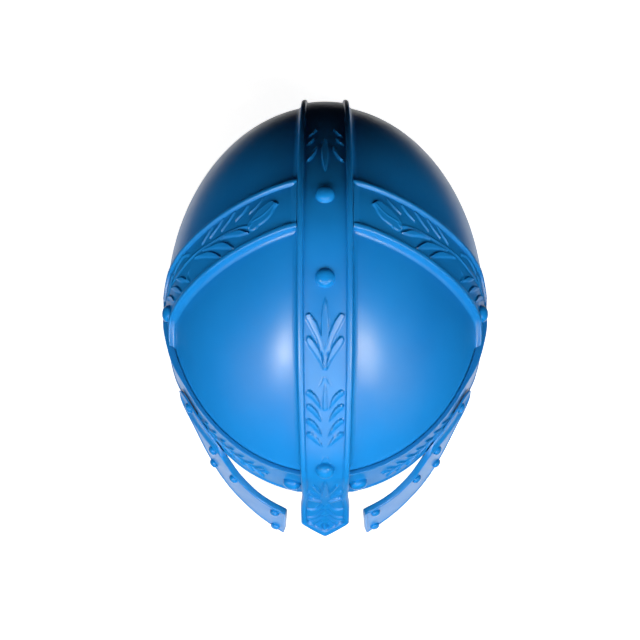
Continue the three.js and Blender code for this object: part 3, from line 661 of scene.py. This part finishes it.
BROW_LEAVES = []
for i, deg in enumerate((23.4, 27.2, 31.2, 35.2, 39.2, 43.2, 47.2)):
    # a branch of leaves in pairs, [angle as mm along the band, height]
    x = deg * 2.12
    BROW_LEAVES.append(([[x - 4.6, 26.4], [x - 1.6, 24.2], [x + 3.2, 18.6]], [[x - 4.8, 24.6], [x - 2.6, 21.0], [x + 2.6, 17.4]], 1.1))
    BROW_LEAVES.append(([[x - 3.8, 9.4], [x - 0.8, 13.2], [x + 4.2, 17.0]], [[x - 4.0, 7.6], [x + 0.2, 9.8], [x + 4.8, 15.0]], 1.1))
BROW_LEAVES.append(([[43.0, 22.0], [45.0, 20.6], [49.6, 17.8]], [[43.0, 16.0], [45.4, 15.2], [49.6, 16.6]], 1.15))
BROW_STEM = [[44.6, 18.4], [60.0, 17.2], [76.0, 17.8], [92.0, 17.0], [108.0, 17.6]]


def brow():
    end = math.acos(8.0 / WALL_F)
    f = np.concatenate([np.linspace(-end, end, 600)])
    # the ring round the section: over the outer face, its two rounded edges
    zz = np.concatenate([[0.0, 0.06, 0.22, 0.5, 0.85], np.linspace(1.2, 34.8, 72), [35.15, 35.5, 35.78, 35.94, 36.0]])
    F, Z = np.meshgrid(f, zz, indexing="ij")
    A = np.abs(F)
    d = brow_proud(F)
    edge = np.minimum(Z, BROW_TOP - Z)
    d = d + 0.35 * smooth((np.degrees(A) - 8.3) / 1.2) * (1 - smooth((np.degrees(A) - 30) / 6))
    D = d - np.where(Z > 18, edge_round(edge, 0.4), edge_round(edge, 0.85))
    tipround = edge_round(np.clip((end - A) * 100, 0, None), 0.9)
    D -= tipround
    # narrow raised strips along the two edges
    recess = smooth((edge - 2.3) / 0.8) * 0.6
    x = np.degrees(A) * 2.12
    D -= recess
    relief = np.zeros(F.shape)
    for upper, lower, h in BROW_LEAVES:
        relief = np.maximum(relief, leaf(x, Z, upper, lower, h))
    relief = np.maximum(relief, ridge(x, Z, BROW_STEM, 1.3, 0.8, 0.2))
    D += relief * 0.95 * smooth((edge - 2.0) / 1.0)
    side = np.where(F < 0, -1.0, 1.0)
    outer = wall_point(A, D, Z, side)
    zero = wall_point(A, 0 * A, Z, side)
    direction = wall_point(A, 0 * A + 1, Z, side) - zero
    q = on_dome(zero, direction, -6, 6)
    inner = q + 0.32 * direction
    inner[..., 2] -= 0.55 * smooth((Z - 34.0) / 2.0)
    # the top face runs in to the dome
    return slab("brow", outer, inner, 42)


# ---- cheek guards ----------------------------------------------------------
CHEEK_OUT, CHEEK_IN = 6.6, 2.2
CHEEK_TOP = [[62, 8], [60.5, 14.5], [57, 17.5], [51, 18], [45.5, 14], [41, 8], [37.9, 2.2], [36.2, -4], [34.3, -11], [32.5, -17.5],
             [30.5, -22.5], [28.6, -26.5], [26.8, -30.2], [25, -33.2], [23.1, -35.7], [19.5, -39.4], [15.8, -42.5], [13.7, -44.6]]
CHEEK_BOTTOM = [[62, 7], [60.5, 2.2], [57, 0.2], [53.5, -1.5], [50.6, -8.5], [48.6, -16], [46.6, -24.5], [44.4, -32], [42.4, -40], [40.4, -46.5],
                [38.2, -51.5], [36.1, -56], [32, -63], [28, -70], [24.2, -76.4], [20.3, -82.6], [17.2, -88.4], [15.1, -93]]


def cheek(side, name):
    steps = 260
    top = catmull([[a * 2.0, z] for a, z in CHEEK_TOP], steps * 2)
    bottom = catmull([[a * 2.0, z] for a, z in CHEEK_BOTTOM], steps * 2)
    k = np.concatenate([np.linspace(0, 0.985, steps), [0.989, 0.9925, 0.9955, 0.9978, 0.9992, 1.0]])
    at = k * (len(top) - 1)
    i = np.clip(at.astype(int), 0, len(top) - 2)
    r = (at - i)[:, None]
    top = top[i] * (1 - r) + top[i + 1] * r
    bottom = bottom[i] * (1 - r) + bottom[i + 1] * r
    width = np.linalg.norm(top - bottom, axis=1)
    m = np.concatenate([[0, 0.002, 0.008, 0.018], np.linspace(0.032, 0.968, 66), [0.982, 0.992, 0.998, 1.0]])
    G = top[:, None, :] * (1 - m)[None, :, None] + bottom[:, None, :] * m[None, :, None]
    along = np.concatenate([[0], np.cumsum(np.linalg.norm(np.diff((top + bottom) / 2, axis=0), axis=1))])
    to_front = (along[-1] - along)[:, None]
    across = np.minimum(m[None, :], 1 - m[None, :]) * width[:, None]
    edge = np.minimum(across * 0.95, to_front)
    # round the two front corners
    corner = np.clip(1 - to_front / 5.0, 0, 1) * np.clip(1 - across / 5.0, 0, 1)
    mid = (top + bottom)[:, None, :] / 2
    G = G + (mid - G) * (0.03 * corner[..., None] ** 1.5)
    G[..., 0] += 0.7 * corner ** 1.5
    F, Z = np.radians(G[..., 0] / 2.0), G[..., 1]
    inside = 0.45 * smooth((edge - 1.9) / 0.7)
    D = CHEEK_OUT - edge_round(edge, 0.9) - inside
    I = CHEEK_IN + edge_round(edge, 0.7) * 0.8
    over = smooth((Z + 0.9) / 0.8)
    I = np.maximum(I, lerp(CHEEK_IN, brow_proud(F) + 0.42, over))
    lap = smooth((Z - 0.5) / 7.0)
    D = lerp(D, brow_proud(F) + 1.75 - edge_round(edge, 0.7) - inside * 0.5, lap)
    D = np.maximum(D, I + 0.25)
    outer = wall_point(F, D, Z, side)
    inner = wall_point(F, I, Z, side)
    lift_to_floor(outer)
    lift_to_floor(inner)
    return slab(name, outer, inner, 42)


# ---- rivets ----------------------------------------------------------------
def rivet(name, p, n, r, h, sink):
    """A domed head with a small fillet round its foot."""
    n = unit(np.asarray(n, float))
    a = np.cross(n, [0.0, 0.0, 1.0] if abs(n[2]) < 0.9 else [1.0, 0.0, 0.0])
    a = unit(a)
    b = np.cross(n, a)
    k = np.linspace(0, math.pi / 2, 15)
    prof = [(r + 0.55, -sink), (r + 0.3, -sink + 0.22), (r + 0.1, -sink + 0.5), (r, -sink + 0.9 if sink > 0.9 else 0.05)]
    prof += [(r * math.cos(x) ** 0.86, h * math.sin(x) ** 1.02) for x in k[1:-1]]
    seg = 56
    f = np.linspace(0, 2 * np.pi, seg, endpoint=False)
    rings = [np.asarray(p) + rr * (np.cos(f)[:, None] * a + np.sin(f)[:, None] * b) + z * n for rr, z in prof]
    points = np.concatenate([np.array(rings).reshape(-1, 3), [np.asarray(p) + h * n], [np.asarray(p) - sink * n]])
    rows = len(rings)
    idx = np.arange(rows * seg).reshape(rows, seg)
    nxt = np.roll(idx, -1, axis=1)
    quads = np.stack([idx[:-1], nxt[:-1], nxt[1:], idx[1:]], -1).reshape(-1, 4)
    top = np.stack([idx[-1], nxt[-1], np.full(seg, rows * seg)], -1)
    bot = np.stack([nxt[0], idx[0], np.full(seg, rows * seg + 1)], -1)
    return make_object(name, points, [quads, top, bot], 60)


RIVET_R, RIVET_H, CHEEK_R, CHEEK_H = 5.6, 3.7, 3.4, 2.5


def rivets():
    out = []

    def put(node, p, n, r, h, sink=0.75):
        out.append((node, rivet("stud_" + node.replace("rivet_", ""), p, n, r, h, sink)))
    for node, y in (("rivet_crest_top", 12.5), ("rivet_crest_front", -36.6)):
        c = on_dome(np.array([[0, y, 60.0]]), np.array([[0, 0, 1.0]]), 0, 90)
        n = dome_normal(c)
        put(node, (c + (CREST_PANEL + 0.45) * n)[0], n[0], RIVET_R, RIVET_H)
    c = on_dome(np.array([[0, 0, 43.0]]), np.array([[0, -1.0, 0]]), 20, 200)
    n = dome_normal(c)
    put("rivet_crest_brow", (c + 5.4 * n)[0], n[0], RIVET_R, RIVET_H, 1.3)
    c = on_dome(np.array([[0, 0, 14.0]]), np.array([[0, 1.0, 0]]), 20, 200)
    put("rivet_crest_rear", (c + np.array([0, CREST_PANEL + 0.45, 0]))[0], [0, 1, 0], RIVET_R, RIVET_H)
    for side in (-1, 1):
        tag = "left" if side < 0 else "right"
        zero = np.zeros(1)
        arc = arc_where(zero, lambda q: q[..., 2] < 43.5)
        p = side_point(arc, zero - 7.0)
        n = dome_normal(p)
        p = p + (SIDE_PANEL_FOOT + 0.75) * n
        p, n = p[0].copy(), n[0].copy()
        p[0] *= side
        n[0] *= side
        put("rivet_side_" + tag, p, n, RIVET_R, RIVET_H, 1.1)
        for node, deg, z, d, r, h in (
                ("rivet_brow", 11.4, 16, 3.05, RIVET_R, RIVET_H), ("rivet_temple", 55, 11.8, 4.6, CHEEK_R + 0.2, CHEEK_H),
                ("rivet_cheek_a", 41.6, -2, 6.35, CHEEK_R, CHEEK_H), ("rivet_cheek_b", 42.6, -32, 6.35, CHEEK_R, CHEEK_H),
                ("rivet_cheek_c", 33.4, -25, 6.35, CHEEK_R, CHEEK_H), ("rivet_cheek_d", 17.9, -48.8, 6.35, CHEEK_R, CHEEK_H),
                ("rivet_cheek_e", 18.2, -81, 6.35, CHEEK_R, CHEEK_H)):
            f = np.array(math.radians(deg))
            p = wall_point(f, d, z, side)
            n = wall_point(f, d + 1, z, side) - p
            put(node + "_" + tag, p, n, r, h, 1.15)
    return out


# ---- materials -------------------------------------------------------------
def plastic(name, base, rough, seed, bump=1.0, wear=0.12):
    """Glossy moulded plastic: faint cloudiness in the colour, a fine orange-peel skin,
    slight flow waviness, handling marks in the gloss, and paler edges."""
    mat = bpy.data.materials.new(name)
    mat.use_nodes = True
    nt = mat.node_tree
    nt.nodes.clear()
    N, L = nt.nodes.new, nt.links.new
    out = N("ShaderNodeOutputMaterial")
    bsdf = N("ShaderNodeBsdfPrincipled")
    L(bsdf.outputs[0], out.inputs[0])
    tex = N("ShaderNodeTexCoord")
    mp = N("ShaderNodeMapping")
    mp.inputs["Location"].default_value = (seed * 0.37, seed * 0.11, -seed * 0.23)
    L(tex.outputs["Object"], mp.inputs[0])

    def noise(scale, detail, rough_=0.5):
        n = N("ShaderNodeTexNoise")
        n.inputs["Scale"].default_value = scale
        n.inputs["Detail"].default_value = detail
        n.inputs["Roughness"].default_value = rough_
        L(mp.outputs[0], n.inputs["Vector"])
        return n
    cloud = noise(14.0, 3.0)
    fine = noise(900.0, 2.0)
    peel = noise(420.0, 2.0)
    flow = noise(38.0, 2.0)
    marks = noise(75.0, 5.0, 0.65)
    ramp = N("ShaderNodeValToRGB")
    ramp.color_ramp.elements[0].position = 0.3
    ramp.color_ramp.elements[1].position = 0.72
    ramp.color_ramp.elements[0].color = (base[0] * 0.86, base[1] * 0.9, base[2] * 0.93, 1)
    ramp.color_ramp.elements[1].color = (base[0] * 1.15, base[1] * 1.08, base[2] * 1.05, 1)
    L(cloud.outputs["Fac"], ramp.inputs[0])
    # paler edges, where the plastic has rubbed
    geo = N("ShaderNodeNewGeometry")
    point = N("ShaderNodeMapRange")
    point.inputs["From Min"].default_value = 0.53
    point.inputs["From Max"].default_value = 0.62
    point.inputs["To Max"].default_value = wear
    L(geo.outputs["Pointiness"], point.inputs["Value"])
    mix = N("ShaderNodeMix")
    mix.data_type = "RGBA"
    L(point.outputs["Result"], mix.inputs["Factor"])
    L(ramp.outputs[0], mix.inputs["A"])
    mix.inputs["B"].default_value = (0.10, 0.36, 0.80, 1)
    L(mix.outputs["Result"], bsdf.inputs["Base Color"])
    rr = N("ShaderNodeMapRange")
    rr.inputs["From Min"].default_value = 0.3
    rr.inputs["From Max"].default_value = 0.75
    rr.inputs["To Min"].default_value = rough - 0.03
    rr.inputs["To Max"].default_value = rough + 0.05
    L(marks.outputs["Fac"], rr.inputs["Value"])
    L(rr.outputs["Result"], bsdf.inputs["Roughness"])
    b1 = N("ShaderNodeBump")
    b1.inputs["Strength"].default_value = 0.015 * bump
    b1.inputs["Distance"].default_value = 0.0004
    L(peel.outputs["Fac"], b1.inputs["Height"])
    b2 = N("ShaderNodeBump")
    b2.inputs["Strength"].default_value = 0.06 * bump
    b2.inputs["Distance"].default_value = 0.0012
    L(flow.outputs["Fac"], b2.inputs["Height"])
    L(b1.outputs["Normal"], b2.inputs["Normal"])
    b3 = N("ShaderNodeBump")
    b3.inputs["Strength"].default_value = 0.008 * bump
    b3.inputs["Distance"].default_value = 0.0002
    L(fine.outputs["Fac"], b3.inputs["Height"])
    L(b2.outputs["Normal"], b3.inputs["Normal"])
    L(b3.outputs["Normal"], bsdf.inputs["Normal"])
    bsdf.inputs["IOR"].default_value = 1.49
    bsdf.inputs["Specular IOR Level"].default_value = 0.5
    return mat


BLUE = (0.005, 0.166, 0.475)
materials = {
    "shell": plastic("blue_shell_plastic", BLUE, 0.33, 1.0),
    "bands": plastic("blue_band_plastic", (0.005, 0.164, 0.465), 0.33, 2.3, 0.8),
    "cheeks": plastic("blue_cheek_plastic", (0.005, 0.166, 0.475), 0.32, 3.1),
    "rivets": plastic("blue_stud_plastic", (0.005, 0.166, 0.475), 0.13, 4.7, 0.3),
}

pieces = [("skull", skull(), "shell"), ("crest_band", crest(), "bands"), ("brow_band", brow(), "bands")]
for side, tag in ((-1, "left"), (1, "right")):
    pieces.append(("side_band_" + tag, side_band(side, "ear_band_" + tag), "bands"))
    pieces.append(("cheek_guard_" + tag, cheek(side, "cheek_" + tag), "cheeks"))
pieces += [(node, obj, "rivets") for node, obj in rivets()]
for node, obj, slot in pieces:
    obj.data.materials.append(materials[slot])
    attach(obj, "root")
    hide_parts(node)

# ---- floor, light, camera --------------------------------------------------
def floor_material(name, glow):
    mat = bpy.data.materials.new(name)
    mat.use_nodes = True
    b = mat.node_tree.nodes["Principled BSDF"]
    b.inputs["Base Color"].default_value = (0.85, 0.85, 0.85, 1)
    b.inputs["Roughness"].default_value = 0.8
    b.inputs["Specular IOR Level"].default_value = 0.1
    b.inputs["Emission Color"].default_value = (1, 1, 1, 1)
    b.inputs["Emission Strength"].default_value = glow
    return mat


def floor_disc(name, r_in, r_out, z, glow):
    """A flat disc or ring; the near disc is the one that shows in the gloss."""
    ang = np.linspace(0, 2 * np.pi, 128, endpoint=False)
    ring = np.stack([np.cos(ang), np.sin(ang), 0 * ang], -1)
    mesh = bpy.data.meshes.new(name)
    pts = np.concatenate([ring * r_in, ring * r_out])
    pts[:, 2] = z
    mesh.from_pydata([tuple(q) for q in pts], [], [(i, i + 128, (i + 1) % 128 + 128, (i + 1) % 128) for i in range(128)]
                     + ([tuple(range(127, -1, -1))] if r_in < 0.3 else []))
    mesh.materials.append(floor_material("pale_" + name, glow))
    obj = bpy.data.objects.new(name, mesh)
    bpy.context.scene.collection.objects.link(obj)
    return obj


near_floor = floor_disc("floor_near", 0.1, 0.185, 0.0, 0.86)
far_floor = floor_disc("floor_far", 0.185, 8.0, 0.0, 1.05)
ang = np.linspace(0, 2 * np.pi, 96, endpoint=False)
wall = bpy.data.meshes.new("backdrop")
levels = [(7.9, 0.0), (8.3, 0.15), (8.6, 0.5), (8.8, 1.2), (8.9, 3.0), (8.9, 9.0)]
wall.from_pydata([(r * math.cos(a), r * math.sin(a), z) for r, z in levels for a in ang], [],
                 [(i * 96 + j, i * 96 + (j + 1) % 96, (i + 1) * 96 + (j + 1) % 96, (i + 1) * 96 + j)
                  for i in range(len(levels) - 1) for j in range(96)])
wall.materials.append(floor_material("pale_backdrop", 1.1))
backdrop = bpy.data.objects.new("backdrop", wall)
bpy.context.scene.collection.objects.link(backdrop)
backdrop.visible_diffuse = False
backdrop.visible_glossy = False
near_floor.visible_diffuse = False
far_floor.visible_diffuse = False
far_floor.visible_glossy = False


def area(name, el, az, distance, size, power, glossy=True, diffuse=True):
    """A round soft light at an elevation and at an azimuth from the front, aimed at the helmet."""
    el, az = math.radians(el), math.radians(az)
    target = Vector((0.0, -0.03, 0.14))
    data = bpy.data.lights.new(name, "AREA")
    data.energy = power
    data.shape = "DISK"
    data.size = size
    obj = bpy.data.objects.new(name, data)
    bpy.context.scene.collection.objects.link(obj)
    d = Vector((math.cos(el) * math.sin(az), -math.cos(el) * math.cos(az), math.sin(el)))
    obj.location = target + d * distance
    obj.rotation_euler = (-d).to_track_quat("-Z", "Y").to_euler()
    obj.visible_glossy = glossy
    obj.visible_diffuse = diffuse
    return obj


for sgn, tag in ((-1, "left"), (1, "right")):
    area("soft_" + tag, 45, sgn * 52, 1.15, 0.40, 4.6, glossy=False)
    area("gloss_" + tag, 45, sgn * 52, 1.15, 0.20, 7.6, diffuse=False).data.color = (1.0, 0.86, 0.62)
    area("side_" + tag, 20, sgn * 60, 1.4, 0.7, 8.0, glossy=False)
area("front", 45, 0, 1.6, 0.9, 22.5, glossy=False)
area("front_soft", 40, 0, 1.6, 1.5, 8.0).data.color = (1.0, 0.88, 0.7)

world = bpy.context.scene.world or bpy.data.worlds.new("world")
bpy.context.scene.world = world
world.use_nodes = True
bg = world.node_tree.nodes.get("Background") or world.node_tree.nodes.new("ShaderNodeBackground")
bg.inputs[0].default_value = (0.75, 0.85, 1.0, 1)
bg.inputs[1].default_value = 0.008
bpy.context.scene.view_settings.view_transform = "Standard"

cam_data = bpy.data.cameras.new("camera")
cam = bpy.data.objects.new("camera", cam_data)
bpy.context.scene.collection.objects.link(cam)
eye = to_world(np.array([0.0, -399.37, 852.5]))
cam.location = tuple(eye)
cam.rotation_euler = (math.radians(90.0 - 65.2886) - LEAN, 0, 0)
cam_data.sensor_width = 36.0
cam_data.lens = 36.0 * 1387.0 / 640.0
cam_data.shift_x = -5.1 / 640.0
cam_data.clip_end = 20.0
bpy.context.scene.camera = cam
